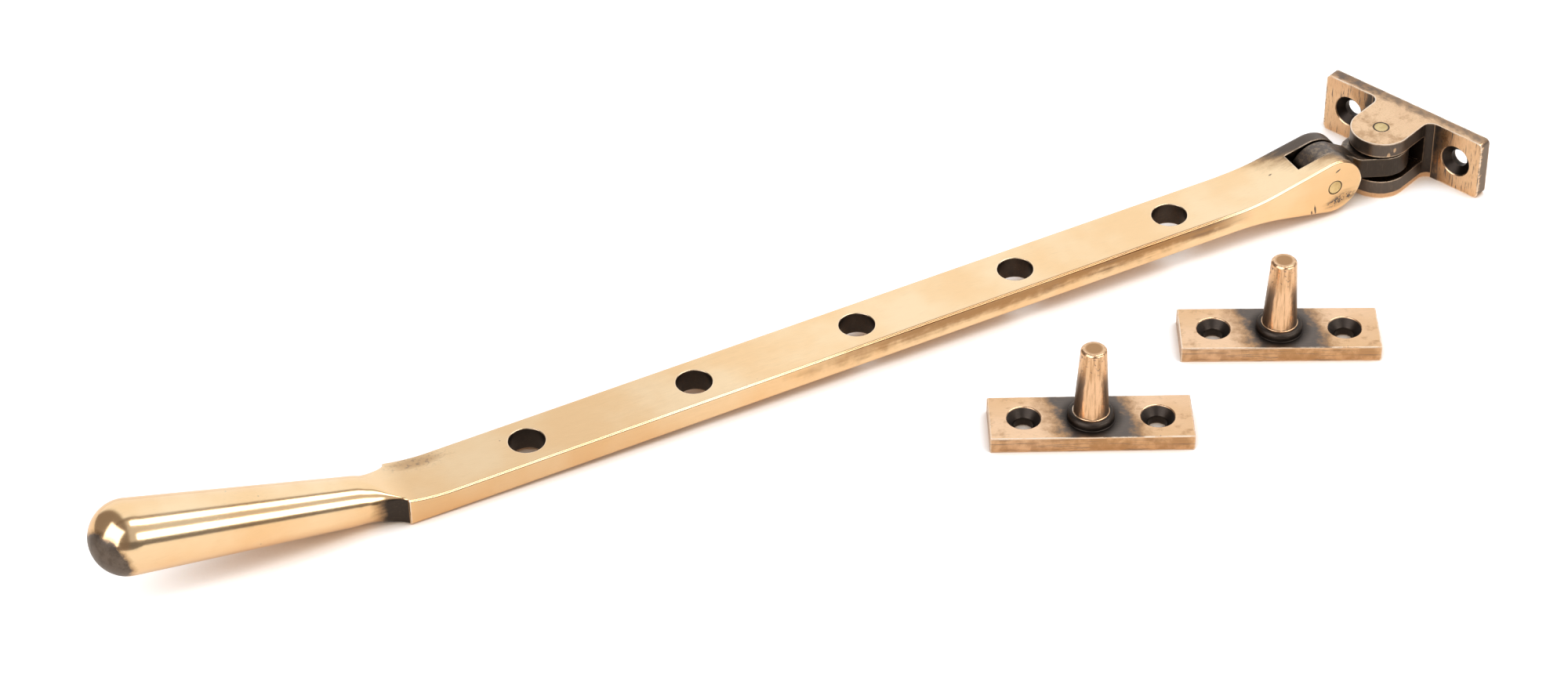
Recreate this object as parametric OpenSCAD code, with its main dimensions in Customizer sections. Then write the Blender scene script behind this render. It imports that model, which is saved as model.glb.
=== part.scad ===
// Peg-type casement stay, about 12 inches long, with its two stay pins.
// Millimetres. The origin is the middle of the bracket's back face, which screws to the window.
// +X points out of that face, Y runs along the bracket's plate and Z is up.
// The set lies on a level surface at the height rest_z: bracket, pins and the arm's shoulder touch it.

/* [Bar] */
// Distance between neighbouring peg holes
hole_pitch = 40; // [25:1:60]
// Number of peg holes in the bar
hole_count = 5; // [2:1:7]
// Diameter of a peg hole
hole_d = 7.9; // [6:0.1:9]
// Width of the flat bar
bar_w = 14.4; // [13:0.1:20]
// Thickness of the flat bar
bar_t = 5.5; // [4:0.1:8]
// Distance from the lifting rivet to the nearest peg hole
fork_reach = 40; // [34:1:60]
// Distance from the last peg hole to the shoulder beside the handle
shoulder_reach = 30.5; // [20:0.5:50]

// Rounding of the arm's long edges
edge_r = 0.5; // [0.2:0.05:1]
// Rounding of the far cheek's outer upper edge, which is worn more than the others
worn_r = 1.6; // [0.5:0.1:2.5]

/* [Fork] */
// Radius of the fork's round end
fork_r = 7; // [6:0.1:8]
// Width across both cheeks of the fork
fork_w = 13.8; // [11:0.1:16]
// Width of the slot between the cheeks
slot_w = 5.8; // [4:0.1:7]
// Slope of the flare from the bar up to the round end
flare_deg = 12.3; // [8:0.1:16]
// Radius of the sweep where the bar turns into the flare
flare_r = 60; // [30:1:90]

/* [Handle] */
// Slope of the handle's centre line above the bar
crank_deg = 13; // [0:0.5:20]
// Length of the blend from the shoulder to the round handle
neck_len = 11; // [9:0.5:16]
// Height of the handle's centre above the bar's centre at the end of the blend
neck_rise = 3; // [2.5:0.1:5]
// Diameter of the handle where it starts
neck_d = 10.9; // [10:0.1:12.5]
// Diameter of the handle's domed end
dome_d = 16.2; // [13:0.1:22]
// Length from the start of the handle to the centre of its dome
handle_len = 49.6; // [30:0.1:80]
// Half the width of the neck just behind the shoulder's hollow corners
waist_half = 5.1; // [4.6:0.1:6]
// Length of the hollow corner between the shoulder and the neck
shoulder_hollow = 5; // [3:0.1:8]
// How far the top of the bar has climbed when it reaches the shoulder
shoulder_climb = 1.25; // [0.4:0.05:2.5]
// Length over which the top of the bar climbs to the shoulder
climb_len = 10.5; // [6:0.5:16]

/* [Link] */
// Distance between the lifting rivet and the swinging rivet
link_reach = 16.4; // [15.6:0.1:20]
// Play on each side of the upright tongue in the fork's slot
slot_play = 0.3; // [0.1:0.05:0.5]
// How far the upright tongue's round edge stays inside the fork's round end
tongue_inset = 0.35; // [0.1:0.05:1]
// Space between the upright tongue and the inner end of the slot
slot_root_gap = 0.95; // [0.4:0.05:2]
// Radius of the flat tongue's round end
flat_r = 6.8; // [5.5:0.1:7.2]
// Play between the flat tongue and the upper lug
flat_play_top = 0.6; // [0.1:0.05:1.2]
// Play between the flat tongue and the lower lug
flat_play_low = 1.25; // [0.1:0.05:1.6]
// Space between the fork's round end and the shoulders of the flat tongue
widen_gap = 0.35; // [0.2:0.05:1]
// Length over which the flat tongue widens to its shoulders
widen_run = 1.6; // [0.8:0.1:2]
// Half the width of the flat tongue at its shoulders
widen_half = 4.2; // [3.5:0.1:4.8]
// Distance between the fork's round end and the foot of the upright tongue's slope
saddle_gap = 1.25; // [0.8:0.05:2]

/* [Bracket] */
// Length of the bracket's plate
plate_l = 43.2; // [41:0.1:70]
// Height of the bracket, and of its plate
plate_h = 15; // [14.5:0.1:20]
// Rounding of the plate's four corners
plate_corner_r = 1.2; // [0.3:0.1:2]
// Thickness of the bracket's plate
plate_t = 3.2; // [3:0.1:5]
// Distance from the plate's back face to the swinging rivet
lug_reach = 12.2; // [11.8:0.1:16]
// Radius of the lugs' round fronts
lug_r = 7; // [5.5:0.05:7.1]
// Thickness of the upper lug
lug_top_t = 3.55; // [2.5:0.05:4]
// Thickness of the lower lug
lug_low_t = 4.55; // [3:0.05:5]
// Radius of the hollow corners between the lugs and the plate
lug_hollow_r = 2.2; // [1:0.1:2.4]
// How far the gap between the lugs stops in front of the plate
gap_root = 1.5; // [0.5:0.1:1.6]
// Distance between the bracket's two screw holes
plate_screw_spacing = 29.8; // [29:0.1:50]

/* [Rivets] */
// Diameter of the rivets between their heads
rivet_d = 2.8; // [2.4:0.1:3]
// Diameter of the rivets' heads, filed flush
rivet_head_d = 3.2; // [3.1:0.1:4.6]
// Depth of the hollow that each head fills
rivet_head_h = 0.8; // [0.4:0.1:1.2]
// Running clearance around a rivet in the link, on the radius
rivet_play = 0.06; // [0.02:0.01:0.1]

/* [Stay pins] */
// Length of a pin's plate
pin_l = 44; // [42:0.5:70]
// Width of a pin's plate
pin_w = 14.2; // [12:0.1:20]
// Thickness of a pin's plate
pin_t = 3.8; // [3:0.1:6]
// Distance between the screw holes of a pin's plate
pin_screw_spacing = 28.9; // [26:0.1:50]
// Height of the peg above its plate
peg_h = 18.7; // [12:0.1:30]
// Diameter of the peg's flat top
peg_tip_d = 5.7; // [4:0.1:5.9]
// Play between the foot of the peg and a peg hole, on the diameter
peg_play = 0.2; // [0.1:0.05:0.5]
// Width of the bevel around the peg's top
peg_bevel = 0.45; // [0.1:0.05:1]
// Diameter of the collar at the foot of the peg
collar_d = 10.3; // [9.6:0.1:12]
// Height of the collar
collar_h = 1.9; // [1.2:0.1:4]
// Radius of the collar's rounded upper edge
collar_round = 1.1; // [0.3:0.05:1.15]

/* [Screw holes] */
// Diameter of the screw holes
screw_d = 4.2; // [3:0.1:5]
// Diameter of the screw holes' sunk mouths
sink_d = 7.8; // [6.5:0.1:9]

/* [Lay-out] */
// Angle by which the arm is swung from square to the bracket
swing_deg = 21; // [0:1:60]
// Middle of the first pin, along the arm from the lifting rivet
pin_1_along = -88.5; // [-140:0.1:-80]
// Middle of the first pin, across the arm
pin_1_across = -47.2; // [-80:0.1:-40]
// Turn of the first pin from the arm's direction
pin_1_turn = -26.7; // [-60:0.1:20]
// Middle of the second pin, along the arm from the lifting rivet
pin_2_along = -36.1; // [-45:0.1:-30]
// Middle of the second pin, across the arm
pin_2_across = -40.1; // [-80:0.1:-40]
// Turn of the second pin from the arm's direction
pin_2_turn = -27.4; // [-60:0.1:20]

/* [Hidden] */
$fn = 96;
bronze = "#D8A06E";
aged_bronze = "#4A4038";
brass = "#CDBB72";
// Distance by which a cutter runs past the faces that it cuts
past = 1;

// The arm is drawn with the lifting rivet's axis at its origin and the handle towards -X.
shoulder_x = -(fork_reach + hole_pitch * (hole_count - 1) + shoulder_reach);
shoulder_top = bar_t / 2 + shoulder_climb;
shoulder_slope = 2 * shoulder_climb / climb_len;
neck_x = shoulder_x - neck_len;
// The handle's cone is tangent to the ball of its dome
dome_r = dome_d / 2;
cone_deg = asin((dome_r - neck_d / 2) / handle_len);

// The lower lug is the thicker one, so the gap between the lugs, the link and the arm's rivet lie
// above the plate's middle
link_z = (lug_low_t - lug_top_t) / 2;
// The surface under the set: the lower edge of the bracket or of the fork sets its height
rest_z = -max(fork_r - link_z, plate_h / 2);
// The arm slopes down until its shoulder touches that surface
lift_h = link_z - rest_z;
arm_pitch = asin(lift_h / norm([shoulder_x, bar_t / 2])) - atan2(bar_t / 2, -shoulder_x);

// Sizes of the link that follow from what it fits between
tongue_w = slot_w - 2 * slot_play;
tongue_r = fork_r - tongue_inset;
slot_root = tongue_r + slot_root_gap;
lug_gap = plate_h - lug_top_t - lug_low_t;
flat_top = lug_gap / 2 - flat_play_top;
flat_low = -lug_gap / 2 + flat_play_low;
widen_x = fork_r + widen_gap;
saddle_x = fork_r + saddle_gap;
peg_foot_d = hole_d - peg_play;

// Points along an arc about the origin
arc_steps = 48;
function arc(r, from, to) =
    [for (i = [0:arc_steps]) let (a = from + (to - from) * i / arc_steps) [r * cos(a), r * sin(a)]];

// Direction in which a line from the point p touches a circle of radius r, above the X axis
function touch_deg(r, p) = atan2(p.y, p.x) + (p.x > 0 ? 1 : -1) * acos(min(1, r / norm(p)));

// Smooth step from 0 to 1
function ease(t) = let (u = min(max(t, 0), 1)) u * u * (3 - 2 * u);

// Height along the neck between two ends, with a given slope at each
function sweep(t, z0, s0, z1, s1) =
    (2 * t * t * t - 3 * t * t + 1) * z0 + (t * t * t - 2 * t * t + t) * neck_len * s0
    + (3 * t * t - 2 * t * t * t) * z1 + (t * t * t - t * t) * neck_len * s1;

// The arm's skin is a run of rings from the dome to the fork's round end.
// A ring is a rounded oblong: each of its corners is an arc with this many points.
corner_points = 8;
corner_step = 90 / corner_points;
corner_signs = [[1, 1], [-1, 1], [-1, -1], [1, -1]];
function ring(x, half_w, top, low, corner_r, lean = 0, first_r = 0) =
    let (mid = (top + low) / 2, half_h = (top - low) / 2)
    [for (q = [0:3], j = [0:corner_points - 1])
        let (
            r = q == 0 ? max(first_r, corner_r) : corner_r,
            a = 90 * q + (j + 0.5) * corner_step,
            reach = r / cos(corner_step / 2),
            across = corner_signs[q].x * (half_w - r) + reach * cos(a),
            up = corner_signs[q].y * (half_h - r) + reach * sin(a))
        [x + up * sin(lean), across, mid + up * cos(lean)]];

// A round ring of the handle, at the distance s along its centre line
function handle_ring(s, r) =
    ring(neck_x - s * cos(crank_deg), r, neck_rise + s * sin(crank_deg) + r,
        neck_rise + s * sin(crank_deg) - r, r, crank_deg);

dome_steps = 10;
cone_steps = 4;
neck_steps = 14;
climb_steps = 6;
flare_steps = 8;
end_steps = 12;
// The rounding of the dome and of the fork's end stops this far short of the tip
tip_deg = 3;

dome_rings = [for (i = [0:dome_steps])
    let (a = 90 - tip_deg - (90 - tip_deg + cone_deg) * i / dome_steps)
    handle_ring(handle_len + dome_r * sin(a), dome_r * cos(a))];
cone_end = handle_len - dome_r * sin(cone_deg);
cone_rings = [for (i = [1:cone_steps])
    let (s = cone_end * (1 - i / cone_steps))
    handle_ring(s, dome_r * cos(cone_deg) - (cone_end - s) * tan(cone_deg))];

// Half the width of the neck: hollow corners at the shoulder, then a waist that grows into the handle
function neck_half_w(t) =
    let (h = t * neck_len / shoulder_hollow)
    h < 1
    ? waist_half + (bar_w / 2 - waist_half) * (1 - sqrt(1 - (1 - h) * (1 - h)))
    : waist_half + (neck_d / 2 - waist_half) * ease((t * neck_len - shoulder_hollow)
        / (neck_len - shoulder_hollow));
neck_rings = [for (i = [1:neck_steps])
    let (
        // The rings lie closer together at the hollow corners
        t = pow(1 - i / neck_steps, 1.4),
        half_w = neck_half_w(t),
        top = sweep(t, shoulder_top, shoulder_slope, neck_rise + neck_d / 2, 1.2 * tan(crank_deg)),
        low = sweep(t, -bar_t / 2, 0.03, neck_rise - neck_d / 2, 0.06),
        roundest = min(half_w, (top - low) / 2))
    ring(shoulder_x - neck_len * t, half_w, top, low,
        edge_r + (roundest - edge_r) * ease(t / 0.75), crank_deg * ease(t))];
climb_rings = [for (i = [1:climb_steps])
    let (s = i / climb_steps)
    ring(shoulder_x + climb_len * s, bar_w / 2, bar_t / 2 + shoulder_climb * (1 - s) * (1 - s),
        -bar_t / 2, edge_r)];

// The bar turns into the flare along an arc, and the flare touches the fork's round end
flare_corner = (bar_t / 2 * cos(flare_deg) - fork_r) / sin(flare_deg);
flare_start = flare_corner - flare_r * tan(flare_deg / 2);
function fork_ring(x, half_h) =
    let (grown = ease((x - flare_start) / (-fork_r - flare_start)))
    ring(x, bar_w / 2 + (fork_w - bar_w) / 2 * grown, half_h, -half_h, min(edge_r, half_h / 2), 0,
        min(edge_r + (worn_r - edge_r) * grown, half_h / 2));
flare_rings = [for (i = [0:flare_steps])
    let (a = flare_deg * i / flare_steps)
    fork_ring(flare_start + flare_r * sin(a), bar_t / 2 + flare_r * (1 - cos(a)))];
end_rings = [for (i = [0:end_steps])
    let (a = 90 + flare_deg - (90 + flare_deg - tip_deg) * i / end_steps)
    fork_ring(fork_r * cos(a), fork_r * sin(a))];

// Handle, neck, bar and fork before anything is cut
module arm_skin() {
    rings = concat(dome_rings, cone_rings, neck_rings, climb_rings, flare_rings, end_rings);
    count = 4 * corner_points;
    last = len(rings) - 1;
    sides = [for (k = [0:last - 1], i = [0:count - 1])
        let (j = (i + 1) % count)
        each [
            [k * count + i, (k + 1) * count + j, (k + 1) * count + i],
            [k * count + i, k * count + j, (k + 1) * count + j]]];
    ends = [
        [for (i = [count - 1:-1:0]) i],
        [for (i = [0:count - 1]) last * count + i]];
    polyhedron([for (r = rings) each r], concat(sides, ends), convexity = 4);
}

// Turns the arm's own frame into the part's frame
module place_arm() {
    translate([-lug_reach, 0, link_z])
        rotate([0, 0, -swing_deg])
            translate([-link_reach, 0, 0])
                rotate([0, -arm_pitch, 0])
                    children();
}

// Turns the link's own frame, level with the lifting rivet's axis at its origin, into the part's
module place_link() {
    translate([-lug_reach, 0, link_z])
        rotate([0, 0, -swing_deg])
            translate([-link_reach, 0, 0])
                children();
}

// Rivet along Z between two faces, with heads that fill sunk mouths
module rivet(length) {
    cylinder(h = length, d = rivet_d, center = true);
    for (side = [0, 180])
        rotate([side, 0, 0])
            translate([0, 0, length / 2 - rivet_head_h])
                cylinder(h = rivet_head_h, d1 = rivet_d, d2 = rivet_head_d);
}

// Sunk screw hole along Z, with its mouth at z = 0 and its shaft down to -depth
module screw_hole(depth) {
    sink_h = (sink_d - screw_d) / 2;
    translate([0, 0, -depth - past])
        cylinder(h = depth + 2 * past, d = screw_d);
    translate([0, 0, -sink_h])
        cylinder(h = sink_h, d1 = screw_d, d2 = sink_d);
    cylinder(h = past, d = sink_d);
}

// Handle, flat bar and fork are one casting
module stay_arm() {
    color(bronze)
        place_arm()
            difference() {
                arm_skin();
                translate([-slot_root, -slot_w / 2, -2 * fork_r])
                    cube([slot_root + fork_r + past, slot_w, 4 * fork_r]);
                rotate([90, 0, 0])
                    rivet(fork_w);
                for (i = [0:hole_count - 1])
                    translate([-(fork_reach + i * hole_pitch), 0, 0])
                        cylinder(h = 4 * fork_r, d = hole_d, center = true);
            }
}

// Side of the link: round upright tongue that comes down to the flat tongue
module link_side() {
    high = touch_deg(tongue_r, [saddle_x, flat_top]);
    low = touch_deg(tongue_r, [saddle_x, -flat_low]);
    end_x = link_reach + flat_r + past;
    polygon(concat(
        arc(tongue_r, high, 360 - low),
        [[saddle_x, flat_low], [end_x, flat_low], [end_x, flat_top], [saddle_x, flat_top]]));
}

// Plan of the link: narrow upright tongue that widens into the round flat tongue
module link_plan() {
    start_x = widen_x - link_reach;
    end_x = -link_reach - tongue_r - past;
    shoulder = [start_x + widen_run, widen_half];
    wide = touch_deg(flat_r, shoulder);
    half_w = tongue_w / 2;
    translate([link_reach, 0])
        polygon(concat(
            arc(flat_r, -wide, wide),
            [shoulder, [start_x, half_w], [end_x, half_w]],
            [[end_x, -half_w], [start_x, -half_w], [shoulder.x, -shoulder.y]]));
}

// The two crossed tongues of the link are one casting
module link() {
    color(aged_bronze)
        place_link()
            difference() {
                intersection() {
                    rotate([90, 0, 0])
                        linear_extrude(2 * flat_r + 2 * past, center = true)
                            link_side();
                    linear_extrude(4 * fork_r, center = true)
                        link_plan();
                }
                rotate([90, 0, 0])
                    cylinder(h = tongue_w + 2 * past, d = rivet_d + 2 * rivet_play, center = true);
                translate([link_reach, 0, 0])
                    cylinder(h = plate_h, d = rivet_d + 2 * rivet_play, center = true);
            }
}

// The lugs' straight sides lie this far inside their round fronts, so that they cross them cleanly
seam = 0.02;

// Plan of a lug: round front, straight sides and hollow corners at the plate
module lug_plan() {
    reach = lug_reach - plate_t;
    translate([-lug_reach, 0])
        circle(r = lug_r);
    translate([-lug_reach, seam - lug_r])
        square([reach + plate_t / 2, 2 * (lug_r - seam)]);
    difference() {
        translate([-plate_t - lug_hollow_r, -lug_r - lug_hollow_r])
            square([lug_hollow_r + plate_t / 2, 2 * (lug_r + lug_hollow_r)]);
        for (side = [-1, 1])
            translate([-plate_t - lug_hollow_r, side * (lug_r + lug_hollow_r)])
                circle(r = lug_hollow_r);
    }
}

// Plate and both lugs are one casting
module bracket() {
    color(bronze)
        difference() {
            union() {
                rotate([0, -90, 0])
                    linear_extrude(plate_t)
                        offset(plate_corner_r)
                            square([plate_h - 2 * plate_corner_r, plate_l - 2 * plate_corner_r], center = true);
                linear_extrude(plate_h, center = true)
                    lug_plan();
            }
            translate([-lug_reach - lug_r - past, -plate_l / 2, link_z - lug_gap / 2])
                cube([lug_reach + lug_r + past - plate_t - gap_root, plate_l, lug_gap]);
            translate([-lug_reach, 0, 0])
                rivet(plate_h);
            for (side = [-1, 1])
                translate([-plate_t, side * plate_screw_spacing / 2, 0])
                    rotate([0, -90, 0])
                        screw_hole(plate_t);
        }
}

// Brass rivet across the fork, on which the arm lifts
module lift_rivet() {
    color(brass)
        place_arm()
            rotate([90, 0, 0])
                rivet(fork_w);
}

// Brass rivet through the lugs, on which the arm swings
module swing_rivet() {
    color(brass)
        translate([-lug_reach, 0, 0])
            rivet(plate_h);
}

// Outline of half the peg with its collar, for turning about Z, from the plate's top up
module peg_half() {
    round_z = collar_h - collar_round;
    shelf_r = collar_d / 2 - collar_round;
    polygon([
        [0, -pin_t / 2], [collar_d / 2, -pin_t / 2], [collar_d / 2, round_z],
        [shelf_r, round_z], [shelf_r, collar_h], [peg_foot_d / 2, collar_h],
        [peg_tip_d / 2, peg_h - peg_bevel], [peg_tip_d / 2 - peg_bevel, peg_h], [0, peg_h]]);
    intersection() {
        translate([shelf_r, round_z])
            circle(r = collar_round);
        translate([shelf_r, round_z])
            square(collar_round);
    }
}

// Plate, collar and tapered peg are one casting
module stay_pin(along, across, turn) {
    color(bronze)
        place_link()
            translate([along, across, -lift_h])
                rotate([0, 0, turn])
                    difference() {
                        union() {
                            translate([-pin_l / 2, -pin_w / 2, 0])
                                cube([pin_l, pin_w, pin_t]);
                            translate([0, 0, pin_t])
                                rotate_extrude()
                                    peg_half();
                        }
                        for (side = [-1, 1])
                            translate([side * pin_screw_spacing / 2, 0, pin_t])
                                screw_hole(pin_t);
                    }
}

module stay_pin_1() {
    stay_pin(pin_1_along, pin_1_across, pin_1_turn);
}

module stay_pin_2() {
    stay_pin(pin_2_along, pin_2_across, pin_2_turn);
}

stay_arm();
link();
bracket();
lift_rivet();
swing_rivet();
stay_pin_1();
stay_pin_2();
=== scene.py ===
from math import asin, atan2, cos, hypot, pi, radians, sin, tan

import bmesh
import bpy
from mathutils import Matrix, Vector


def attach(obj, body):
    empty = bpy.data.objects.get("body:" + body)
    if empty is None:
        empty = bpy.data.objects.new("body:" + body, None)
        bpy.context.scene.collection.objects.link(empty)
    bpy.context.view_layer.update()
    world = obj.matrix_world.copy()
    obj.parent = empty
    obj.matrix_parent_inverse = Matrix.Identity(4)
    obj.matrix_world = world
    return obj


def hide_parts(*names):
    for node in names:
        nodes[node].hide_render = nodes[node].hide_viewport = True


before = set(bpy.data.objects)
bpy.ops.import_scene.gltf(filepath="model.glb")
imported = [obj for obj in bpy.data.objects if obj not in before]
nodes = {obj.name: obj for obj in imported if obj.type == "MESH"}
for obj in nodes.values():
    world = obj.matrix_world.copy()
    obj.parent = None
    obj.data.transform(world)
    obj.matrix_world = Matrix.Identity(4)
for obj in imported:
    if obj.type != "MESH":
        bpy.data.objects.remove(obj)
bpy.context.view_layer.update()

MM = 0.001

# ---------------------------------------------------------------- sizes repeated from the source, in mm
BAR_W, BAR_T = 14.4, 5.5
HOLE_PITCH, HOLE_COUNT, HOLE_D = 40.0, 5, 7.9
FORK_REACH, SHOULDER_REACH = 40.0, 30.5
FORK_R, FORK_W, SLOT_W, SLOT_ROOT = 7.0, 13.8, 5.8, 7.6
FLARE_DEG, FLARE_R = 12.3, 60.0
CRANK_DEG, NECK_LEN, NECK_RISE, NECK_D = 13.0, 11.0, 3.0, 10.9
DOME_D, HANDLE_LEN = 16.2, 49.6
WAIST_HALF, SHOULDER_HOLLOW = 5.1, 5.0
SHOULDER_CLIMB, CLIMB_LEN = 1.25, 10.5
LINK_REACH, LUG_REACH, SWING_DEG = 16.4, 12.2, 21.0
RIVET_D, RIVET_HEAD_D, RIVET_HEAD_H = 2.8, 3.2, 0.8
PLATE_L, PLATE_H, PLATE_T = 43.2, 15.0, 3.2
LUG_TOP_T, LUG_LOW_T = 3.55, 4.55
PLATE_SCREWS, PIN_SCREWS, SINK_D = 29.8, 28.9, 7.8
PIN_T, COLLAR_D, COLLAR_H, PEG_H, PEG_FOOT_R = 3.8, 10.3, 1.9, 18.7, 3.6
PINS = {"stay_pin_1": (-88.5, -47.2, -26.7), "stay_pin_2": (-36.1, -40.1, -27.4)}
LINK_Z = (LUG_LOW_T - LUG_TOP_T) / 2
REST_Z = -PLATE_H / 2
LIFT_H = LINK_Z - REST_Z

SHOULDER_X = -(FORK_REACH + HOLE_PITCH * (HOLE_COUNT - 1) + SHOULDER_REACH)
NECK_X = SHOULDER_X - NECK_LEN
PITCH = asin(LIFT_H / hypot(SHOULDER_X, BAR_T / 2)) - atan2(BAR_T / 2, -SHOULDER_X)

# The arm's and the link's own frames, seen from the part's
LINK_PLACE = (Matrix.Translation((-LUG_REACH, 0, LINK_Z)) @ Matrix.Rotation(-radians(SWING_DEG), 4, "Z")
              @ Matrix.Translation((-LINK_REACH, 0, 0)))
ARM_PLACE = LINK_PLACE @ Matrix.Rotation(-PITCH, 4, "Y")


# ---------------------------------------------------------------- the arm's casting
EDGE_R, WORN_R = 0.75, 1.6      # the casting's edges, and the fork's far upper corner
RIM_R = 0.28                    # rims of the peg holes and of the slot
EDGE_SEGMENTS = 3               # faces across a rounded edge
SHARP_DEG = 40                  # an edge turns at least this far
CREASE_DEG = 35                 # the arm's shading breaks along an edge that turns this far
FLATS_FIRST = 80                # how far the arm's shading goes by its large faces; 50 is the usual
FLAT_DEG = 0.5                  # faces that turn less than this are one flat
CORNER_POINTS = 16              # points round each corner of a section
DOME_STEPS, CONE_STEPS, NECK_STEPS = 32, 8, 40
CLIMB_STEPS, FLARE_STEPS, ROUND_STEPS = 12, 20, 40
END_GAP = radians(1.5)          # how far short of their middle both ends close
NECK_BUNCH = 1.4                # brings the neck's sections closer together towards the shoulder
NECK_ROUND_BY = 0.75            # how far along the neck its section is fully round
NECK_TOP_RISE = 1.2             # how much steeper than the handle's axis the neck's top meets it
NECK_UNDER = (0.03, 0.06)       # slopes of the neck's underside, at the shoulder and at the handle
PAST = 20.0                     # how far a cutter runs past the casting
SEAT_ROOM = 0.05                # room round the rivet's heads
JOIN = 0.002                    # points closer than this are one
NEAR = 0.05                     # how close to a rim a point lies on it


def ease(t):
    t = min(max(t, 0.0), 1.0)
    return t * t * (3 - 2 * t)


def sweep(t, z0, s0, z1, s1):
    """Height along the neck between two ends, with a given slope at each."""
    return ((2 * t ** 3 - 3 * t ** 2 + 1) * z0 + (t ** 3 - 2 * t ** 2 + t) * NECK_LEN * s0
            + (3 * t ** 2 - 2 * t ** 3) * z1 + (t ** 3 - t ** 2) * NECK_LEN * s1)


def ring(x, half_w, top, low, corner_r, lean=0.0, first_r=0.0):
    """A rounded oblong across the arm at x; the far upper corner can be rounder."""
    mid, half_h = (top + low) / 2, (top - low) / 2
    step = radians(90) / CORNER_POINTS
    points = []
    for q, (sy, sz) in enumerate(((1, 1), (-1, 1), (-1, -1), (1, -1))):
        r = max(first_r, corner_r) if q == 0 else corner_r
        reach = r / cos(step / 2)
        for j in range(CORNER_POINTS):
            a = q * pi / 2 + (j + 0.5) * step
            across = sy * (half_w - r) + reach * cos(a)
            up = sz * (half_h - r) + reach * sin(a)
            points.append((x + up * sin(lean), across, mid + up * cos(lean)))
    return points


def handle_ring(s, r):
    z = NECK_RISE + s * sin(radians(CRANK_DEG))
    return ring(NECK_X - s * cos(radians(CRANK_DEG)), r, z + r, z - r, r, radians(CRANK_DEG))


def neck_half_w(t):
    """Half the neck's width: hollow corners at the shoulder, then a waist that grows into the handle."""
    h = t * NECK_LEN / SHOULDER_HOLLOW
    if h < 1:
        return WAIST_HALF + (BAR_W / 2 - WAIST_HALF) * (1 - (1 - (1 - h) ** 2) ** 0.5)
    rest = (t * NECK_LEN - SHOULDER_HOLLOW) / (NECK_LEN - SHOULDER_HOLLOW)
    return WAIST_HALF + (NECK_D / 2 - WAIST_HALF) * ease(rest)


def arm_rings():
    """Every section of the casting, from the dome's end to the fork's."""
    rings = []
    dome_r = DOME_D / 2
    cone = asin((dome_r - NECK_D / 2) / HANDLE_LEN)
    for i in range(DOME_STEPS + 1):
        a = pi / 2 - END_GAP - (pi / 2 - END_GAP + cone) * i / DOME_STEPS
        rings.append(handle_ring(HANDLE_LEN + dome_r * sin(a), dome_r * cos(a)))
    cone_end = HANDLE_LEN - dome_r * sin(cone)
    for i in range(1, CONE_STEPS + 1):
        s = cone_end * (1 - i / CONE_STEPS)
        rings.append(handle_ring(s, dome_r * cos(cone) - (cone_end - s) * tan(cone)))
    crank = radians(CRANK_DEG)
    for i in range(1, NECK_STEPS + 1):
        t = (1 - i / NECK_STEPS) ** NECK_BUNCH
        half_w = neck_half_w(t)
        top = sweep(t, BAR_T / 2 + SHOULDER_CLIMB, 2 * SHOULDER_CLIMB / CLIMB_LEN,
                    NECK_RISE + NECK_D / 2, NECK_TOP_RISE * tan(crank))
        low = sweep(t, -BAR_T / 2, NECK_UNDER[0], NECK_RISE - NECK_D / 2, NECK_UNDER[1])
        roundest = min(half_w, (top - low) / 2)
        rings.append(ring(SHOULDER_X - NECK_LEN * t, half_w, top, low,
                          EDGE_R + (roundest - EDGE_R) * ease(t / NECK_ROUND_BY), crank * ease(t)))
    for i in range(1, CLIMB_STEPS + 1):
        s = i / CLIMB_STEPS
        rings.append(ring(SHOULDER_X + CLIMB_LEN * s, BAR_W / 2, BAR_T / 2 + SHOULDER_CLIMB * (1 - s) ** 2,
                          -BAR_T / 2, EDGE_R))
    flare = radians(FLARE_DEG)
    corner = (BAR_T / 2 * cos(flare) - FORK_R) / sin(flare)
    start = corner - FLARE_R * tan(flare / 2)

    def fork_ring(x, half_h):
        grown = ease((x - start) / (-FORK_R - start))
        half_w = BAR_W / 2 + (FORK_W - BAR_W) / 2 * grown
        return ring(x, half_w, half_h, -half_h, min(EDGE_R, half_h / 2), 0.0,
                    min(EDGE_R + (WORN_R - EDGE_R) * grown, half_h / 2))

    for i in range(FLARE_STEPS + 1):
        a = flare * i / FLARE_STEPS
        rings.append(fork_ring(start + FLARE_R * sin(a), BAR_T / 2 + FLARE_R * (1 - cos(a))))
    for i in range(ROUND_STEPS + 1):
        a = pi / 2 + flare - (pi / 2 + flare - END_GAP) * i / ROUND_STEPS
        rings.append(fork_ring(FORK_R * cos(a), FORK_R * sin(a)))
    return rings


def mesh_object(name, bm, place):
    """A new piece from a bmesh in mm, put in the part's frame."""
    bm.normal_update()
    mesh = bpy.data.meshes.new(name)
    bm.to_mesh(mesh)
    bm.free()
    mesh.transform(Matrix.Scale(MM, 4) @ place)
    piece = bpy.data.objects.new(name, mesh)
    bpy.context.scene.collection.objects.link(piece)
    return piece


def skin(rings):
    """A closed skin over sections that all have as many points."""
    bm = bmesh.new()
    rows = [[bm.verts.new(p) for p in r] for r in rings]
    count = len(rows[0])
    for a, b in zip(rows, rows[1:]):
        for i in range(count):
            j = (i + 1) % count
            bm.faces.new((a[i], a[j], b[j], b[i]))
    bm.faces.new(list(reversed(rows[0])))
    bm.faces.new(rows[-1])
    bmesh.ops.recalc_face_normals(bm, faces=bm.faces)
    return bm


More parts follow.
